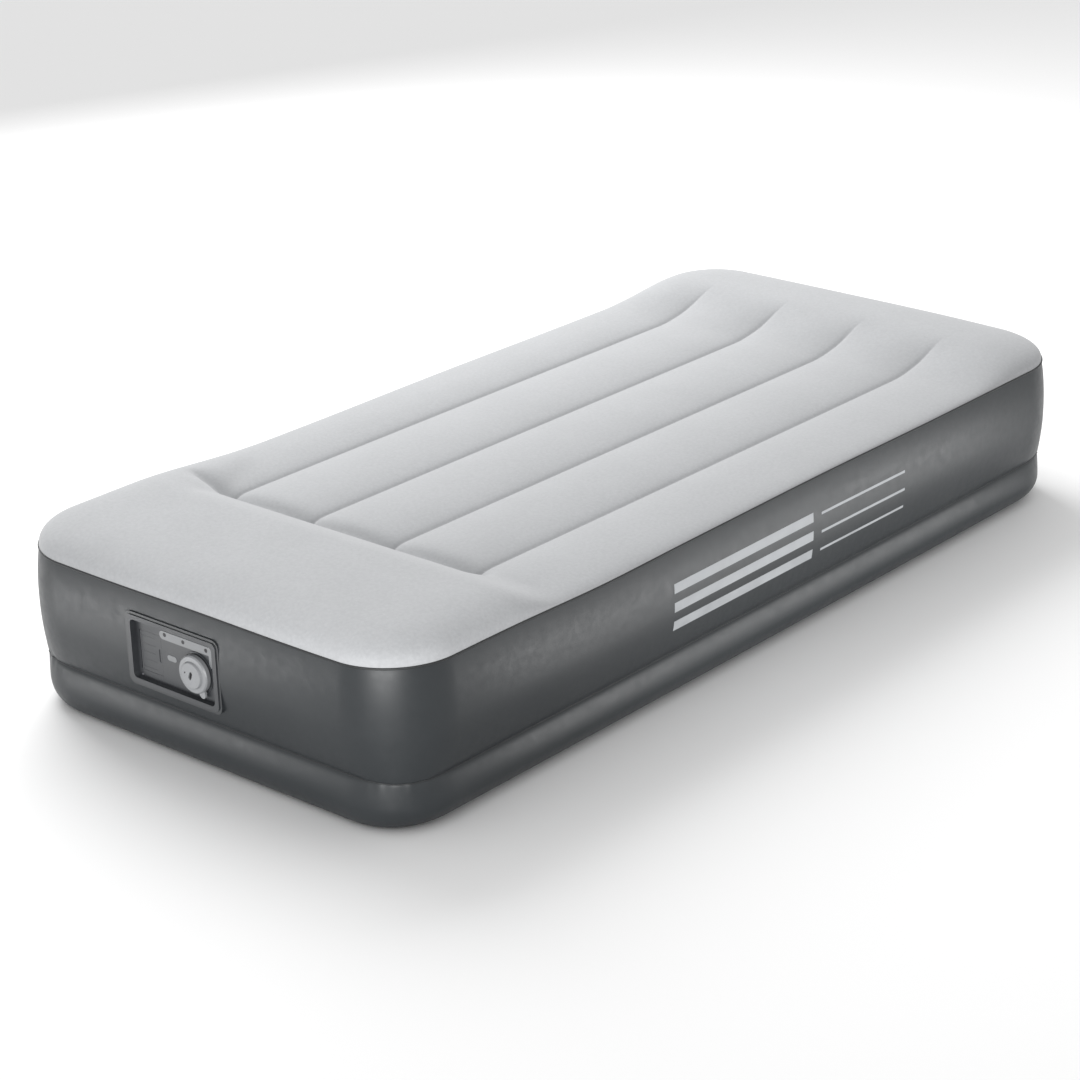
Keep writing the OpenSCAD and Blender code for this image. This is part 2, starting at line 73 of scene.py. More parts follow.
# Plan: corner radii at the bulge, and how far the walls draw in towards the corners.
CORE_INSET = 134 * MM
CORE_X = HALF_W - CORE_INSET
CORE_Y = HALF_L - CORE_INSET
CORNER_RADII = {(1, 1): 156 * MM, (-1, 1): 140 * MM, (-1, -1): 148 * MM, (1, -1): 134 * MM}
BOW = 2.5 * MM
SEAM_INSET = 8 * MM

# ---------------------------------------------------------------- camera

# Angles in degrees, lens and sensor in millimetres, shifts as shares of the frame's width.
AZIMUTH = 40.524
ELEVATION = 22.230
ROLL = -1.317
DISTANCE = 5.3659
TARGET = Vector((0, 0, 0.097))
LENS = 95.52
SENSOR_W = 36
SHIFT_X = -0.0375
SHIFT_Y = -0.0030


def camera_axes():
    """Unit vectors from the target back to the camera, to its right and up, without its roll."""
    az = math.radians(AZIMUTH)
    el = math.radians(ELEVATION)
    back = Vector((math.sin(az) * math.cos(el), -math.cos(az) * math.cos(el), math.sin(el)))
    right = (-back).cross(Vector((0, 0, 1))).normalized()
    return back, right, right.cross(-back)


def add_camera():
    back, right, up = camera_axes()
    roll = math.radians(ROLL)
    side = right * math.cos(roll) + up * math.sin(roll)
    top = up * math.cos(roll) - right * math.sin(roll)
    data = bpy.data.cameras.new("camera")
    data.lens = LENS
    data.sensor_width = SENSOR_W
    data.shift_x = SHIFT_X
    data.shift_y = SHIFT_Y
    camera = bpy.data.objects.new("camera", data)
    bpy.context.scene.collection.objects.link(camera)
    turned = Matrix((side, top, back)).transposed().to_4x4()
    camera.matrix_world = Matrix.Translation(TARGET + back * DISTANCE) @ turned
    bpy.context.scene.camera = camera


# ---------------------------------------------------------------- mesh helpers


def link_mesh(name, verts, faces):
    mesh = bpy.data.meshes.new(name)
    mesh.from_pydata([tuple(v) for v in verts], [], faces)
    mesh.validate()
    obj = bpy.data.objects.new(name, mesh)
    bpy.context.scene.collection.objects.link(obj)
    mesh.shade_smooth()
    return obj


def tidy_mesh(obj, weld=0.05 * MM):
    """Joins coinciding points and turns every face outwards."""
    bm = bmesh.new()
    bm.from_mesh(obj.data)
    bmesh.ops.remove_doubles(bm, verts=bm.verts, dist=weld)
    bmesh.ops.recalc_face_normals(bm, faces=bm.faces)
    bm.to_mesh(obj.data)
    bm.free()
    obj.data.shade_smooth()


def grid_faces(rows, cols, closed=False, start=0):
    """Quads between rows of points; closed joins the last column to the first."""
    faces = []
    last = cols if closed else cols - 1
    for j in range(rows - 1):
        for i in range(last):
            a = start + j * cols + i
            b = start + j * cols + (i + 1) % cols
            faces.append((a, b, b + cols, a + cols))
    return faces


def circle(sides, radius_x, radius_y):
    """Points of an ellipse round (0, 0), anticlockwise."""
    angles = [2 * math.pi * k / sides for k in range(sides)]
    return [(radius_x * math.cos(a), radius_y * math.sin(a)) for a in angles]


def step(a, b, v):
    """Smooth rise from 0 at a to 1 at b."""
    t = np.clip((v - a) / (b - a), 0, 1)
    return t * t * (3 - 2 * t)


def piece(obj, material, slot, *nodes, body="bed"):
    """Gives a new piece its material and body, and hides the CAD nodes that it stands for. The slot is
    not used.
    """
    obj.data.materials.append(material)
    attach(obj, body)
    if nodes:
        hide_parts(*nodes)
    return obj


# ---------------------------------------------------------------- outline of the mattress

PER_CORNER = 48
STRAIGHT_REACH = 100 * MM  # reach of the stations along the straight walls

# Columns of outline_columns.
FOOT = slice(0, 2)
OUTWARD = slice(2, 4)
REACH = 4
BEND = 5
CORE = slice(6, 8)


def outline_columns(along_x, along_y):
    """Stations round the outline, anticlockwise from the +X side's end at the far corner. along_x
    and along_y are shares, from -1 to 1, of the straight ends and sides. Each row holds the foot
    (x, y), the outward normal (x, y), the reach from the foot to the bulge, how much of a corner
    the station is, and the matching place (x, y) on the core rectangle."""
    rows = []
    order = [(1, 1), (-1, 1), (-1, -1), (1, -1)]
    for k, (sx, sy) in enumerate(order):
        radius = CORNER_RADII[(sx, sy)]
        centre = (sx * (HALF_W - radius), sy * (HALF_L - radius))
        core = (sx * CORE_X, sy * CORE_Y)
        for i in range(PER_CORNER + 1):
            angle = math.radians(90 * (k + i / PER_CORNER))
            bend = math.sin(2 * angle) ** 2
            rows.append((*centre, math.cos(angle), math.sin(angle), radius, bend, *core))
        nx, ny = order[(k + 1) % 4]
        next_radius = CORNER_RADII[(nx, ny)]
        on_end = k % 2 == 0
        half = HALF_W if on_end else HALF_L
        run = sx if on_end else sy
        normal = (0, sy) if on_end else (sx, 0)
        for share in sorted(along_x if on_end else along_y, key=lambda s: -s * run):
            part = (1 - share * run) / 2
            place = run * ((half - radius) * (1 - part) - (half - next_radius) * part)
            if on_end:
                foot = (place, sy * (HALF_L - STRAIGHT_REACH))
                core = (share * CORE_X, sy * CORE_Y)
            else:
                foot = (sx * (HALF_W - STRAIGHT_REACH), place)
                core = (sx * CORE_X, share * CORE_Y)
            rows.append((*foot, *normal, STRAIGHT_REACH, 0, *core))
    return np.array(rows, float)


def drawn_in(cols, inset):
    """Places (x, y) of the stations, inset from the bulge."""
    return cols[:, FOOT] + cols[:, OUTWARD] * (cols[:, REACH] - inset)[:, None]


def even_shares(length, pitch):
    n = round(length / pitch)
    return [2 * i / n - 1 for i in range(1, n)]


def bowed(points):
    """Draws the plan in towards the corners, so that every wall bows out a little."""
    x = points[:, 0]
    y = points[:, 1]
    moved = points.copy()
    moved[:, 0] = x * (1 - BOW / HALF_W * (y / HALF_L) ** 2)
    moved[:, 1] = y * (1 - BOW / HALF_L * (x / HALF_W) ** 2)
    return moved


# The seam wanders in two slow waves (height, radians per metre along x and y, phase) and dips
# once, on the side with the print.
SEAM_WAVES = [(0.8 * MM, 0.0, 9.0, 0.6), (0.6 * MM, 14.0, 5.0, 0.0)]
DIP_DEPTH = 5 * MM
DIP_Y = -0.50
DIP_REACH = 0.17
DIP_SIDE = (0.2, 0.4)


def seam_lift(x, y):
    """Slow rise and fall of the welded seam along the walls."""
    dip = DIP_DEPTH * np.exp(-(((y - DIP_Y) / DIP_REACH) ** 2)) * step(*DIP_SIDE, x)
    wave = sum(rise * np.sin(x * in_x + y * in_y + phase) for rise, in_x, in_y, phase in SEAM_WAVES)
    return wave - dip


# ---------------------------------------------------------------- sleeping surface

# Heights are above the seam. A pair holds the places where a smooth step starts and ends.
COVER_LIFT = 1 * MM
TOP_Z = SEAM_Z + COVER_LIFT
CHANNEL_RISE = 13 * MM

# Rounded rim, wider at the far corner of the side with the print.
RIM_W = 110 * MM
RIM_POWER = 2.4
SOFT_CORNER = 90 * MM
SOFT_CORNER_REACH = 0.22

# A lengthwise groove is a wide valley with a narrow crease at its bottom.
GROOVE_PITCH = 193 * MM
GROOVES = [k * GROOVE_PITCH - 14 * MM for k in (-1.5, -0.5, 0.5, 1.5)]
GROOVE_DEPTH = 10.6 * MM
GROOVE_POWER = 2.2
CREASE_DEPTH = 3.4 * MM
CREASE_W = 5 * MM

# The cross groove, and the stretch across the bed that it keeps to.
CROSS_Y = -596 * MM
CROSS_DEPTH = 13 * MM
CROSS_W = 17 * MM
CROSS_POWER = 1.5
CROSS_START = (GROOVES[0] - 0.115, GROOVES[0] - 0.060)
CROSS_END = (GROOVES[3] - 0.004, GROOVES[3] + 0.040)

GROOVE_START = (CROSS_Y - 0.020, CROSS_Y + 0.010)
GROOVE_END = (0.700, 0.815)

# The foot end slopes down to the channels over a longer stretch along the -X side.
FOOT_RISE = 44 * MM
FOOT_SLOPE_START = CROSS_Y - 0.104
FOOT_SLOPE = 0.010
FOOT_SLOPE_MORE = 0.24
FOOT_SLOPE_SIDE = (-0.44, -0.30)
PILLOW_RISE = 43 * MM
PILLOW_SLOPE = (0.620, 0.830)


def inset_at(x, y):
    """Distance inside the seam's outline."""
    found = np.zeros_like(x)
    for (sx, sy), bulge_radius in CORNER_RADII.items():
        here = (np.sign(x + 1e-9) == sx) & (np.sign(y + 1e-9) == sy)
        radius = bulge_radius - SEAM_INSET
        qx = np.abs(x) - (HALF_W - SEAM_INSET - radius)
        qy = np.abs(y) - (HALF_L - SEAM_INSET - radius)
        out = np.where((qx > 0) & (qy > 0), np.hypot(qx, qy), np.maximum(qx, qy))
        found = np.where(here, radius - out, found)
    return found


def rim_share(x, y):
    """Share of the full height, from 0 at the seam to 1 inside the rounded rim."""
    to_corner = np.hypot(x - HALF_W, y - HALF_L)
    width = RIM_W + SOFT_CORNER * np.exp(-((to_corner / SOFT_CORNER_REACH) ** 2))
    t = np.clip(inset_at(x, y) / width, 0, 1)
    return (1 - (1 - t) ** RIM_POWER) ** (1 / RIM_POWER)


def crest_height(x, y):
    """Height above the seam of the channels, with the raised foot and pillow ends."""
    slope = FOOT_SLOPE + FOOT_SLOPE_MORE * (1 - step(*FOOT_SLOPE_SIDE, x))
    foot = 1 - step(FOOT_SLOPE_START, CROSS_Y + slope, y)
    crest = CHANNEL_RISE + (FOOT_RISE - CHANNEL_RISE) * foot
    return crest + (PILLOW_RISE - CHANNEL_RISE) * step(*PILLOW_SLOPE, y)


def groove_depth(x, y):
    """Depth of the four lengthwise grooves and of the cross groove."""
    nearest = np.min([np.abs(x - g) for g in GROOVES], axis=0)
    across = np.minimum(1, nearest / (GROOVE_PITCH / 2))
    valley = GROOVE_DEPTH * (1 - across) ** GROOVE_POWER + CREASE_DEPTH * np.exp(-nearest / CREASE_W)
    runs = step(*GROOVE_START, y) * (1 - step(*GROOVE_END, y))
    within = step(*CROSS_START, x) * (1 - step(*CROSS_END, x))
    cross = np.exp(-(np.abs((y - CROSS_Y) / CROSS_W) ** CROSS_POWER)) * within
    return runs * valley + CROSS_DEPTH * cross


def top_height(x, y):
    """Height of the sleeping surface, from arrays of places."""
    rim = rim_share(x, y)
    lift = seam_lift(x, y) * (1 - rim)
    return TOP_Z + lift + rim * (crest_height(x, y) - COVER_LIFT - groove_depth(x, y))


def groove_shares():
    """Columns across the surface, as shares of the core: one on every groove, and close beside it."""
    beside = [0, 2.5, 6, 10, 15, 21, 29, 39, 50, 62, 74, 85, 96.5]
    closest = 1.5 * MM
    edge = CORE_X - 3 * MM
    places = sorted({round(g + s * o * MM, 5) for g in GROOVES for o in beside for s in (-1, 1)})
    kept = [-CORE_X]
    for x in places:
        if abs(x) < edge and x - kept[-1] > closest:
            kept.append(x)
    return [x / CORE_X for x in kept[1:]]


def row_shares():
    """Rows along the surface, close together at the cross groove."""
    beside = [-60, -50, -41, -33, -26, -20, -15, -10, -5, 0, 5, 10, 15, 21, 28, 36, 46]
    near = [CROSS_Y + o * MM for o in beside]
    pitch = 9 * MM
    before = np.linspace(-CORE_Y, near[0], round((near[0] + CORE_Y) / pitch) + 1)[1:-1]
    after = np.linspace(near[-1], CORE_Y, round((CORE_Y - near[-1]) / pitch) + 1)[1:-1]
    return [y / CORE_Y for y in (*before, *near, *after)]


def build_top(material):
    """Padded cover: rings from the seam in to the core rectangle, and a grid inside it."""
    across = groove_shares()
    along = row_shares()
    cols = outline_columns(across, along)
    outer = drawn_in(cols, SEAM_INSET)
    core = cols[:, CORE]
    insets = [0, 0.8, 2, 4, 7, 11, 16, 22, 29, 37, 46, 56, 67, 79, 92, 106, 126]
    strip = np.concatenate([outer + (core - outer) * (i / insets[-1]) for i in insets])
    full_x = [-CORE_X] + [s * CORE_X for s in across] + [CORE_X]
    full_y = [-CORE_Y] + [s * CORE_Y for s in along] + [CORE_Y]
    inner = np.array([(x, y) for y in full_y for x in full_x])
    faces = grid_faces(len(insets), len(cols), closed=True)
    faces += [tuple(reversed(f)) for f in grid_faces(len(full_y), len(full_x), start=len(strip))]
    flat = np.concatenate([strip, inner])
    heights = top_height(flat[:, 0], flat[:, 1])
    cover = link_mesh("top_cover", bowed(np.column_stack([flat, heights])), faces)
    tidy_mesh(cover, 0.3 * MM)
    piece(cover, material, "flocked_top", "top_sheet")
    return cover


# ---------------------------------------------------------------- tiers

# Insets are from the bulge of the upper tier, which stands at the edge of the plan.
BULGE_Z = 190 * MM
WALL_WAIST = 18 * MM        # along the straight walls
CORNER_WAIST = 8 * MM       # and at the corners
SEAM_POWER = 2.4
WAIST_TUCK = 0.18           # extra inset right at the weld, as a share of the waist inset
WAIST_TUCK_REACH = 0.03     # share of the tier's height over which it fades
PINCH = 1.1 * MM
PINCH_REACH = 14 * MM

ROLL_MAX_Z = 46 * MM        # height at which the lower tier is widest
ROLL_INSET = 9 * MM
ROLL_CORNER_LESS = 3 * MM   # taken off that inset at the corners
ROLL_FOOT = 46 * MM         # how far the lower tier tucks under
FOOT_MORE_SIDE = 12 * MM    # more along the side with the print
FOOT_LESS_PUMP = 14 * MM    # less along the pump's end
ROLL_POWER = 1.7
ROLL_TUCK = 0.25
ROLL_TUCK_REACH = 0.05


def wall_shares(z):
    """Shares of the waist inset and of the seam inset at a height of the upper tier."""
    below = max(0, (BULGE_Z - z) / (BULGE_Z - WAIST_Z))
    above = max(0, (z - BULGE_Z) / (SEAM_Z - BULGE_Z))
    return below**2, above**SEAM_POWER


def wall_profile():
    """Upper tier from the waist to the seam: (share of the waist inset, seam share, height)."""
    rows = []
    for t in np.concatenate([[0, 0.008, 0.02, 0.04, 0.07], np.linspace(0.10, 0.985, 30), [1]]):
        z = WAIST_Z + (SEAM_Z - WAIST_Z) * t
        waist_share, seam_share = wall_shares(z)
        tuck = WAIST_TUCK * math.exp(-t / WAIST_TUCK_REACH)
        rows.append((waist_share + tuck, seam_share, z))
    return rows


def waist_inset(cols):
    return WALL_WAIST + (CORNER_WAIST - WALL_WAIST) * cols[:, BEND]


def pinches(cols, z):
    """Small puckers where the corners are drawn in to the waist weld."""
    angle = np.arctan2(cols[:, 3], cols[:, 2])
    ripple = np.sin(22 * angle + 2 * np.sin(9 * angle)) + 0.5 * np.sin(37 * angle + 1)
    return PINCH * cols[:, BEND] * ripple * math.exp(-abs(z - WAIST_Z) / PINCH_REACH)


def wall_points(cols, waist_share, seam_share, z):
    """One level row of the upper tier, which follows the seam's rise and fall near the top."""
    inset = waist_inset(cols) * waist_share + SEAM_INSET * seam_share + pinches(cols, z)
    flat = drawn_in(cols, inset)
    share = np.clip((z - WAIST_Z) / (SEAM_Z - WAIST_Z), 0, 1)
    lift = seam_lift(flat[:, 0], flat[:, 1]) * share
    return np.column_stack([flat, z + lift])


def roll_profile():
    """Lower tier from under the mattress up to the waist: (foot share, waist share, height)."""
    rows = []
    for angle in np.radians(np.linspace(0, 90, 16)):
        rows.append((1 - math.sin(angle), 0, ROLL_MAX_Z * (1 - math.cos(angle))))
    for share in (*np.linspace(0.05, 0.90, 18), 0.94, 0.97, 0.985, 1):
        tuck = ROLL_TUCK * math.exp((share - 1) / ROLL_TUCK_REACH)
        waist_share = (share**ROLL_POWER + tuck) / (1 + ROLL_TUCK)
        rows.append((0, waist_share, ROLL_MAX_Z + (WAIST_Z - ROLL_MAX_Z) * share))
    return rows


def roll_inset(cols, foot_share):
    """Inset of the lower tier, from its widest (foot share 0) to where it meets the floor (1)."""
    side = FOOT_MORE_SIDE * np.maximum(0, cols[:, 2])
    pump_end = FOOT_LESS_PUMP * np.maximum(0, -cols[:, 3])
    foot = ROLL_FOOT + side - pump_end
    return ROLL_INSET + foot * foot_share - ROLL_CORNER_LESS * cols[:, BEND]


def roll_points(cols, foot_share, waist_share, z):
    """One level row of the lower tier."""
    waist = (1 + WAIST_TUCK) * waist_inset(cols)
    widest = roll_inset(cols, foot_share)
    flat = drawn_in(cols, widest + (waist - widest) * waist_share + pinches(cols, z))
    return np.column_stack([flat, np.full(len(flat), z)])


def wall_columns():
    pitch = 10 * MM
    return outline_columns(even_shares(2 * CORE_X, pitch), even_shares(2 * CORE_Y, pitch))


def cut_pump_hole(obj):
    """Opens the end wall behind the pump's welded collar."""
    bm = bmesh.new()
    bm.from_mesh(obj.data)
    half = (pump_high - pump_low) / 2
    margin = 30 * MM
    planes = [
        (Vector((PUMP_X - half.x, 0, 0)), Vector((1, 0, 0))),
        (Vector((PUMP_X + half.x, 0, 0)), Vector((1, 0, 0))),
        (Vector((0, 0, PUMP_Z - half.z)), Vector((0, 0, 1))),
        (Vector((0, 0, PUMP_Z + half.z)), Vector((0, 0, 1))),
    ]

    def near(face, reach):
        middle = face.calc_center_median()
        beside = abs(middle.x - PUMP_X) < half.x + reach and abs(middle.z - PUMP_Z) < half.z + reach
        return middle.y < -HALF_L + CORE_INSET and beside

    for place, normal in planes:
        faces = [f for f in bm.faces if near(f, margin)]
        edges = list({e for f in faces for e in f.edges})
        verts = list({v for f in faces for v in f.verts})
        around = faces + edges + verts
        bmesh.ops.bisect_plane(bm, geom=around, plane_co=place, plane_no=normal)
    bmesh.ops.delete(bm, geom=[f for f in bm.faces if near(f, 0)], context="FACES")
    bm.to_mesh(obj.data)
    bm.free()
    obj.data.shade_smooth()


def build_tiers(material):
    cols = wall_columns()
    rows = [wall_points(cols, *row) for row in wall_profile()]
    faces = grid_faces(len(rows), len(cols), closed=True)
    wall = link_mesh("side_tier", bowed(np.concatenate(rows)), faces)
    tidy_mesh(wall)
    cut_pump_hole(wall)
    piece(wall, material, "wall_laminate", "side_wall")
    rows = [roll_points(cols, *row) for row in roll_profile()]
    faces = grid_faces(len(rows), len(cols), closed=True)
    roll = link_mesh("lower_tier", bowed(np.concatenate(rows)), faces)
    tidy_mesh(roll)
    piece(roll, material, "wall_laminate", "lower_wall")


# Print on the long side: runs of (start, end, half height), each on every level.
PRINT_RUNS = [(-0.310, 0.090, 9 * MM), (0.115, 0.380, 2.5 * MM)]
PRINT_LEVELS = (0.150, 0.185, 0.220)
PRINT_LIFT = 0.25 * MM


def build_print(material):
    """Plain pale stripes printed on the long side."""
    verts = []
    faces = []
    for y_low, y_high, half in PRINT_RUNS:
        ys = np.linspace(y_low, y_high, 60)
        for level in PRINT_LEVELS:
            zs = np.linspace(level - half, level + half, 4)
            faces += grid_faces(len(zs), len(ys), start=len(verts))
            for z in zs:
                waist_share, seam_share = wall_shares(z)
                x = np.full(len(ys), HALF_W - (WALL_WAIST * waist_share + SEAM_INSET * seam_share))
                rise = seam_lift(x, ys) * (z - WAIST_Z) / (SEAM_Z - WAIST_Z)
                verts += list(np.column_stack([x + PRINT_LIFT, ys, z + rise]))
    stripes = link_mesh("side_print", bowed(np.array(verts)), faces)
    piece(stripes, material, "wall_laminate")


# Position dots on the strip over the dial, from the pump's middle.
MARK_R = 3.6 * MM
MARK_PLACES = [(-26 * MM, 38 * MM), (18 * MM, 37 * MM), (72 * MM, 37 * MM)]
MARK_LIFT = 0.15 * MM


def build_marks(material):
    """Dark position dots printed on the icon strip, over the moulded ones."""
    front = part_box("icon_strip")[0].y - MARK_LIFT
    sides = 28
    verts = []
    for x, z in MARK_PLACES:
        verts += [(PUMP_X + x + dx, front, PUMP_Z + z + dz) for dx, dz in circle(sides, MARK_R, MARK_R)]
    faces = [tuple(range(start, start + sides)) for start in range(0, len(verts), sides)]
    dots = link_mesh("strip_marks", verts, faces)
    piece(dots, material, "dark_inlay")


def build_floor_sheet(material):
    """Flat vinyl underside: rings from the foot of the lower tier inwards, closed by a fan."""
    cols = wall_columns()
    outer = drawn_in(cols, roll_inset(cols, 1))
    core = cols[:, CORE] * 0.8
    rings = []
    for share in np.linspace(0, 1, 12):
        flat = outer + (core - outer) * share
        rings.append(np.column_stack([flat, np.zeros(len(flat))]))
    middle = np.zeros((1, 3))
    count = len(cols)
    faces = grid_faces(len(rings), count, closed=True)
    last = (len(rings) - 1) * count
    hub = len(rings) * count
    faces += [(last + i, last + (i + 1) % count, hub) for i in range(count)]
    sheet = link_mesh("floor_sheet", bowed(np.concatenate(rings + [middle])), faces)
    tidy_mesh(sheet)
    piece(sheet, material, "wall_laminate", "base_sheet")


def bead_ring(name, centre_rows, radius_out, radius_up, material, node):
    """Welded bead along a closed row of points."""
    ahead = np.roll(centre_rows, -1, axis=0) - np.roll(centre_rows, 1, axis=0)
    out = np.column_stack([ahead[:, 1], -ahead[:, 0]])
    out /= np.linalg.norm(out, axis=1)[:, None]
    loops = []
    for across, up in circle(8, radius_out, radius_up):
        loop = centre_rows.copy()
        loop[:, 0:2] += out * across
        loop[:, 2] += up
        loops.append(loop)
    faces = grid_faces(len(loops), len(centre_rows), closed=True)
    last = (len(loops) - 1) * len(centre_rows)
    for a, b, _, _ in grid_faces(2, len(centre_rows), closed=True):
        faces.append((last + a, last + b, b, a))
    bead = link_mesh(name, np.concatenate(loops), faces)
    tidy_mesh(bead, 0.01 * MM)
    piece(bead, material, "weld_bead", node)


def build_piping(material):
    cols = wall_columns()
    seam = bowed(wall_points(cols, 0, 1, SEAM_Z))
    bead_ring("top_piping", seam, 2.2 * MM, 2.0 * MM, material, "top_seam")
    waist = bowed(wall_points(cols, 1 + WAIST_TUCK, 0, WAIST_Z))
    bead_ring("waist_piping", waist, 1.6 * MM, 1.4 * MM, material, "waist_seam")


WIRE_R = 0.6 * MM
SPRING_TURNS = 6
CLOSE_ENDS = 0.3            # share of the rise that is eased, so that the end turns lie close


def build_spring(material):
    """Closing spring of the inflation valve, which shortens as the flap lifts; here a coil of round
    wire, built at one length.
    """
    low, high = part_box("valve_spring")
    middle = (low + high) / 2
    coil_r = (high.x - low.x) / 2 - WIRE_R
    length = high.y - low.y
    per_turn = 32
    sides = 12
    verts = []
    count = SPRING_TURNS * per_turn + 1
    for i in range(count):
        share = i / (count - 1)
        turn = 2 * math.pi * i / per_turn
        rise = CLOSE_ENDS * float(step(0, 1, share)) + (1 - CLOSE_ENDS) * share
        along = low.y + WIRE_R + (length - 2 * WIRE_R) * rise
        for across, up in circle(sides, WIRE_R, WIRE_R):
            out = coil_r + across
            x = middle.x + out * math.cos(turn)
            z = middle.z + out * math.sin(turn)
            verts.append((x, along + up, z))
    faces = grid_faces(count, sides, closed=True)
    faces += [tuple(range(sides)), tuple(range((count - 1) * sides, count * sides))]
    spring = link_mesh("closing_spring", verts, faces)
    tidy_mesh(spring, 0.001 * MM)
    piece(spring, material, "steel", "valve_spring")
    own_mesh(spring)


# ---------------------------------------------------------------- materials

# Sockets of the Mix node's colour form, whose names repeat.
MIX_SHARE = 0
MIX_A = 6
MIX_B = 7
MIX_RESULT = 2

# Most of a noise's values lie between these.
NOISE_LOW = 0.3
NOISE_HIGH = 0.7


def new_material(name, colour, roughness):
    made = bpy.data.materials.new(name)
    made.use_nodes = True
    shader = made.node_tree.nodes["Principled BSDF"]
    shader.inputs["Base Color"].default_value = (*colour, 1)
    shader.inputs["Roughness"].default_value = roughness
    return made, made.node_tree, shader


def add_node(tree, kind, **values):
    """New node; a value goes to the input of that name, or else to the node's own setting."""
    node = tree.nodes.new(kind)
    for name, value in values.items():
        if name in node.inputs:
            node.inputs[name].default_value = value
        else:
            setattr(node, name, value)
    return node


def noise(tree, coords, scale, detail=2.0, rough=0.5):
    node = add_node(tree, "ShaderNodeTexNoise", Scale=scale, Detail=detail, Roughness=rough)
    tree.links.new(coords, node.inputs["Vector"])
    return node.outputs["Fac"]


def object_coords(tree):
    return add_node(tree, "ShaderNodeTexCoord").outputs["Object"]


def spread(tree, value, to_low, to_high, low=NOISE_LOW, high=NOISE_HIGH):
    """Maps the range from low to high onto the one from to_low to to_high."""
    node = add_node(tree, "ShaderNodeMapRange")
    tree.links.new(value, node.inputs["Value"])
    node.inputs["From Min"].default_value = low
    node.inputs["From Max"].default_value = high
    node.inputs["To Min"].default_value = to_low
    node.inputs["To Max"].default_value = to_high
    return node.outputs["Result"]


def mixed(tree, share, dark, light):
    """Colour between two, by a share from nodes."""
    node = add_node(tree, "ShaderNodeMix", data_type="RGBA")
    tree.links.new(share, node.inputs[MIX_SHARE])
    node.inputs[MIX_A].default_value = (*dark, 1)
    node.inputs[MIX_B].default_value = (*light, 1)
    return node.outputs[MIX_RESULT]


def bump(tree, shader, height, strength, distance, under=None):
    """Relief on a shader, on top of an earlier one; returns its normal for the next."""
    node = add_node(tree, "ShaderNodeBump", Strength=strength, Distance=distance)
    tree.links.new(height, node.inputs["Height"])
    if under is not None:
        tree.links.new(under, node.inputs["Normal"])
    tree.links.new(node.outputs["Normal"], shader.inputs["Normal"])
    return node.outputs["Normal"]


def product(tree, a, b):
    node = add_node(tree, "ShaderNodeMath", operation="MULTIPLY")
    tree.links.new(a, node.inputs[0])
    tree.links.new(b, node.inputs[1])
    return node.outputs[0]


def flock_material():
    """Pale flock: short fibres that lie in soft patches, with a dry sheen."""
    made, tree, shader = new_material("flock", (0.60, 0.61, 0.625), 0.95)
    coords = object_coords(tree)
    fibres = noise(tree, coords, 1100, 3, 0.7)
    clumps = noise(tree, coords, 170, 3, 0.6)
    brushed = noise(tree, coords, 9, 3, 0.5)
    grain = spread(tree, product(tree, fibres, clumps), 0, 1, 0.12, 0.40)
    fine = mixed(tree, grain, (0.312, 0.318, 0.327), (0.364, 0.370, 0.380))
    patches = mixed(tree, spread(tree, brushed, 0, 1), (0.965, 0.965, 0.965), (1, 1, 1))
    tone = add_node(tree, "ShaderNodeMix", data_type="RGBA", blend_type="MULTIPLY")
    tone.inputs[MIX_SHARE].default_value = 1.0
    tree.links.new(fine, tone.inputs[MIX_A])
    tree.links.new(patches, tone.inputs[MIX_B])
    tree.links.new(tone.outputs[MIX_RESULT], shader.inputs["Base Color"])
    coarse = bump(tree, shader, clumps, 0.25, 0.6 * MM)
    bump(tree, shader, fibres, 0.5, 0.25 * MM, coarse)
    shader.inputs["Sheen Weight"].default_value = 0.25
    shader.inputs["Sheen Roughness"].default_value = 0.5
    shader.inputs["Specular IOR Level"].default_value = 0.2
    return made


def vinyl_material():
    """Dark satin vinyl laminate: fine emboss, soft stretch marks and slightly uneven gloss."""
    made, tree, shader = new_material("vinyl", (0.0165, 0.0190, 0.0210), 0.38)
    coords = object_coords(tree)
    emboss = noise(tree, coords, 650, 2, 0.5)
    blotch = noise(tree, coords, 6, 4, 0.55)
    scuffs = noise(tree, coords, 60, 4, 0.65)
    tone = spread(tree, blotch, 0, 1)
    colour = mixed(tree, tone, (0.0145, 0.0170, 0.0190), (0.0185, 0.0210, 0.0230))
    tree.links.new(colour, shader.inputs["Base Color"])
    tree.links.new(spread(tree, scuffs, 0.36, 0.46), shader.inputs["Roughness"])
    slow = bump(tree, shader, blotch, 0.15, 3 * MM)
    bump(tree, shader, emboss, 0.22, 0.15 * MM, slow)
    shader.inputs["Specular IOR Level"].default_value = 0.36
    return made


def moulded_material(name, colour, roughness, grain=900):
    """Moulded plastic with a fine spark grain and a little uneven gloss."""
    made, tree, shader = new_material(name, colour, roughness)
    coords = object_coords(tree)
    spark = noise(tree, coords, grain, 3, 0.6)
    cloud = noise(tree, coords, 25, 3, 0.5)
    darker = tuple(c * 0.90 for c in colour)
    lighter = tuple(min(1, c * 1.08) for c in colour)
    tone = mixed(tree, spread(tree, cloud, 0, 1), darker, lighter)
    tree.links.new(tone, shader.inputs["Base Color"])
    gloss = spread(tree, cloud, roughness - 0.05, roughness + 0.06)
    tree.links.new(gloss, shader.inputs["Roughness"])
    bump(tree, shader, spark, 0.25, 0.12 * MM)
    return made


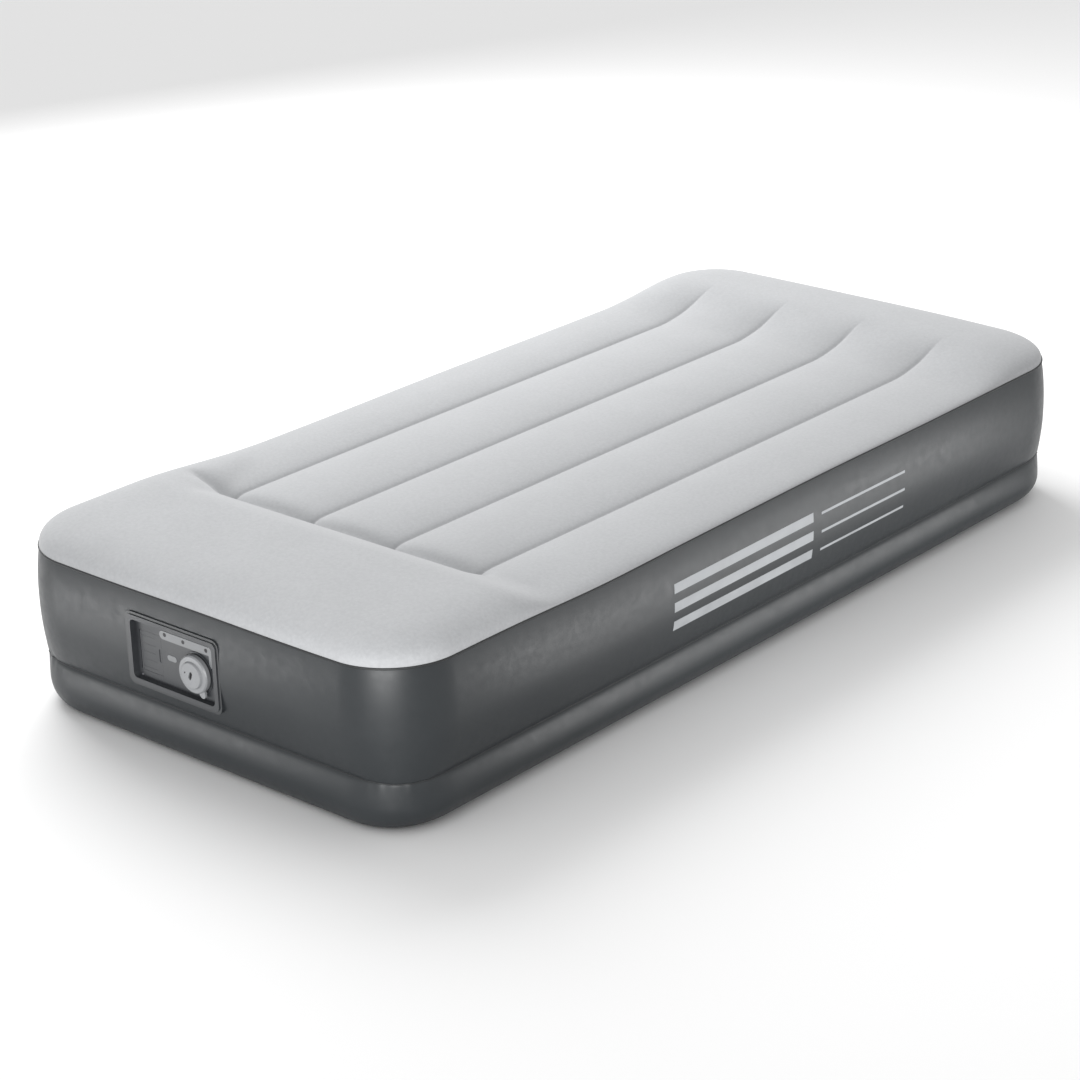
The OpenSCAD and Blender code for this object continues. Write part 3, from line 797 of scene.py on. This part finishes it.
def metal_material(name, colour, roughness):
    """Drawn or turned metal with fine marks."""
    made, tree, shader = new_material(name, colour, roughness)
    marks = noise(tree, object_coords(tree), 1500, 2, 0.5)
    shader.inputs["Metallic"].default_value = 1.0
    gloss = spread(tree, marks, roughness - 0.08, roughness + 0.10)
    tree.links.new(gloss, shader.inputs["Roughness"])
    bump(tree, shader, marks, 0.15, 0.05 * MM)
    return made


# Visible pump parts whose edges are rounded, with the widths of the rounding.
ROUNDED = {
    "pump_frame": 0.8 * MM,
    "face_panel": 0.5 * MM,
    "icon_strip": 0.25 * MM,
    "cord_door": 0.4 * MM,
    "dial_knob": 0.5 * MM,
    "dial_bezel": 0.4 * MM,
    "blank_plate": 0.4 * MM,
}
SHARP_EDGE = 35             # degrees from which an edge is rounded


def finish_nodes(flock):
    """Finish of every CAD node that is shown, by its slot in the record."""
    looks = {
        "weld_bead": moulded_material("bead_vinyl", (0.010, 0.011, 0.012), 0.55),
        "wall_laminate": moulded_material("collar_vinyl", (0.016, 0.018, 0.020), 0.42),
        "web_laminate": moulded_material("web_vinyl", (0.42, 0.43, 0.44), 0.55, 500),
        "panel_plastic": moulded_material("panel_plastic", (0.024, 0.026, 0.029), 0.45),
        "dial_plastic": moulded_material("dial_plastic", (0.17, 0.175, 0.182), 0.40),
        "dark_inlay": moulded_material("dark_inlay", (0.006, 0.006, 0.007), 0.6),
        "case_plastic": moulded_material("case_plastic", (0.022, 0.024, 0.027), 0.5),
        "seal_rubber": moulded_material("seal_rubber", (0.016, 0.016, 0.017), 0.7),
        "nylon": moulded_material("nylon", (0.62, 0.61, 0.57), 0.4),
        "steel": metal_material("steel", (0.62, 0.62, 0.64), 0.32),
        "copper": metal_material("copper", (0.72, 0.38, 0.20), 0.35),
        "magnet": moulded_material("magnet", (0.035, 0.033, 0.032), 0.35),
        "lead_insulation": moulded_material("lead_insulation", (0.35, 0.03, 0.03), 0.4),
        "flocked_top": flock,
    }
    slots = {row["node"]: row["material_slot"] for row in frame["record"]["subparts"]}
    for name, obj in frame["nodes"].items():
        obj.data.materials.clear()
        obj.data.materials.append(looks[slots[name]])
    strip_look = moulded_material("strip_foil", (0.135, 0.140, 0.145), 0.38)
    for name in ("icon_strip", "blank_plate"):
        frame["nodes"][name].data.materials[0] = strip_look
    for name, width in ROUNDED.items():
        edge = frame["nodes"][name].modifiers.new("soft edges", "BEVEL")
        edge.width = width
        edge.segments = 2
        edge.limit_method = "ANGLE"
        edge.angle_limit = math.radians(SHARP_EDGE)
    return looks


# ---------------------------------------------------------------- light and floor

WORLD_STRENGTH = 0.86
FLOOR_REACH = 40

# Lights: place, size and power in watts, and for the strips the way that they face.
KEY_PLACE = Vector((-2.4, 0.9, 2.2))
KEY_SIZE = (3.0, 3.0)
KEY_POWER = 150
END_STRIP_PLACE = Vector((-0.55, -1.42, 0.035))
END_STRIP_FACES = Vector((0.1, 0.5, 0.16))
END_STRIP_SIZE = (0.75, 0.07)
END_STRIP_POWER = 1.85
SIDE_STRIP_PLACE = Vector((0.85, 0.38, 0.035))
SIDE_STRIP_FACES = Vector((-0.5, 0, 0.16))
SIDE_STRIP_SIZE = (1.6, 0.07)
SIDE_STRIP_POWER = 3.9
NOSE_PLACE = Vector((1.05, -2.12, 0.36))
NOSE_SIZE = (0.80, 0.75)
NOSE_POWER = 26


def add_area(name, place, target, size, power, spares=None):
    """Rectangular soft light; spares is a collection that it leaves unlit."""
    data = bpy.data.lights.new(name, "AREA")
    data.shape = "RECTANGLE"
    data.size = size[0]
    data.size_y = size[1]
    data.energy = power
    lamp = bpy.data.objects.new(name, data)
    bpy.context.scene.collection.objects.link(lamp)
    lamp.visible_camera = False
    if spares:
        lamp.light_linking.receiver_collection = spares
    lamp.location = place
    lamp.rotation_euler = (Vector(target) - place).to_track_quat("-Z", "Y").to_euler()


def spare(collection, obj):
    """Leaves an object unlit by the lamps that spare the collection."""
    collection.objects.link(obj)
    collection.collection_objects[-1].light_linking.link_state = "EXCLUDE"


def add_world():
    world = bpy.data.worlds.new("studio")
    world.use_nodes = True
    background = world.node_tree.nodes["Background"]
    background.inputs["Color"].default_value = (1, 1, 1, 1)
    background.inputs["Strength"].default_value = WORLD_STRENGTH
    bpy.context.scene.world = world
    bpy.context.scene.view_settings.view_transform = "Standard"


def add_floor():
    reach = FLOOR_REACH
    corners = [(-reach, -reach, 0), (reach, -reach, 0), (reach, reach, 0), (-reach, reach, 0)]
    floor = link_mesh("floor", corners, [(0, 1, 2, 3)])
    floor_look = new_material("floor_paint", (0.88, 0.88, 0.88), 0.9)[0]
    floor.data.materials.append(floor_look)
    return floor


def add_lights(floor):
    """Key light and three lights that shape the walls' highlights. None of the three lights the
    floor, and the two low strips leave the collection that is returned unlit too."""
    add_area("key", KEY_PLACE, (0, 0, 0.2), KEY_SIZE, KEY_POWER)
    off_strips = bpy.data.collections.new("spared by the strip lights")
    spare(off_strips, floor)
    for name, place, faces, size, power in (
        ("end_strip", END_STRIP_PLACE, END_STRIP_FACES, END_STRIP_SIZE, END_STRIP_POWER),
        ("side_strip", SIDE_STRIP_PLACE, SIDE_STRIP_FACES, SIDE_STRIP_SIZE, SIDE_STRIP_POWER),
    ):
        add_area(name, place, place + faces, size, power, off_strips)
    off_nose = bpy.data.collections.new("spared by the corner light")
    spare(off_nose, floor)
    add_area("nose_strip", NOSE_PLACE, (0.40, -0.90, 0.2), NOSE_SIZE, NOSE_POWER, off_nose)
    return off_strips


add_camera()
add_world()
spared = add_lights(add_floor())
flock = flock_material()
vinyl = vinyl_material()
looks = finish_nodes(flock)
spare(spared, build_top(flock))
build_tiers(vinyl)
build_piping(looks["weld_bead"])
build_floor_sheet(vinyl)
build_marks(looks["dark_inlay"])
build_spring(looks["steel"])
build_print(moulded_material("pale_print", (0.25, 0.26, 0.27), 0.5))
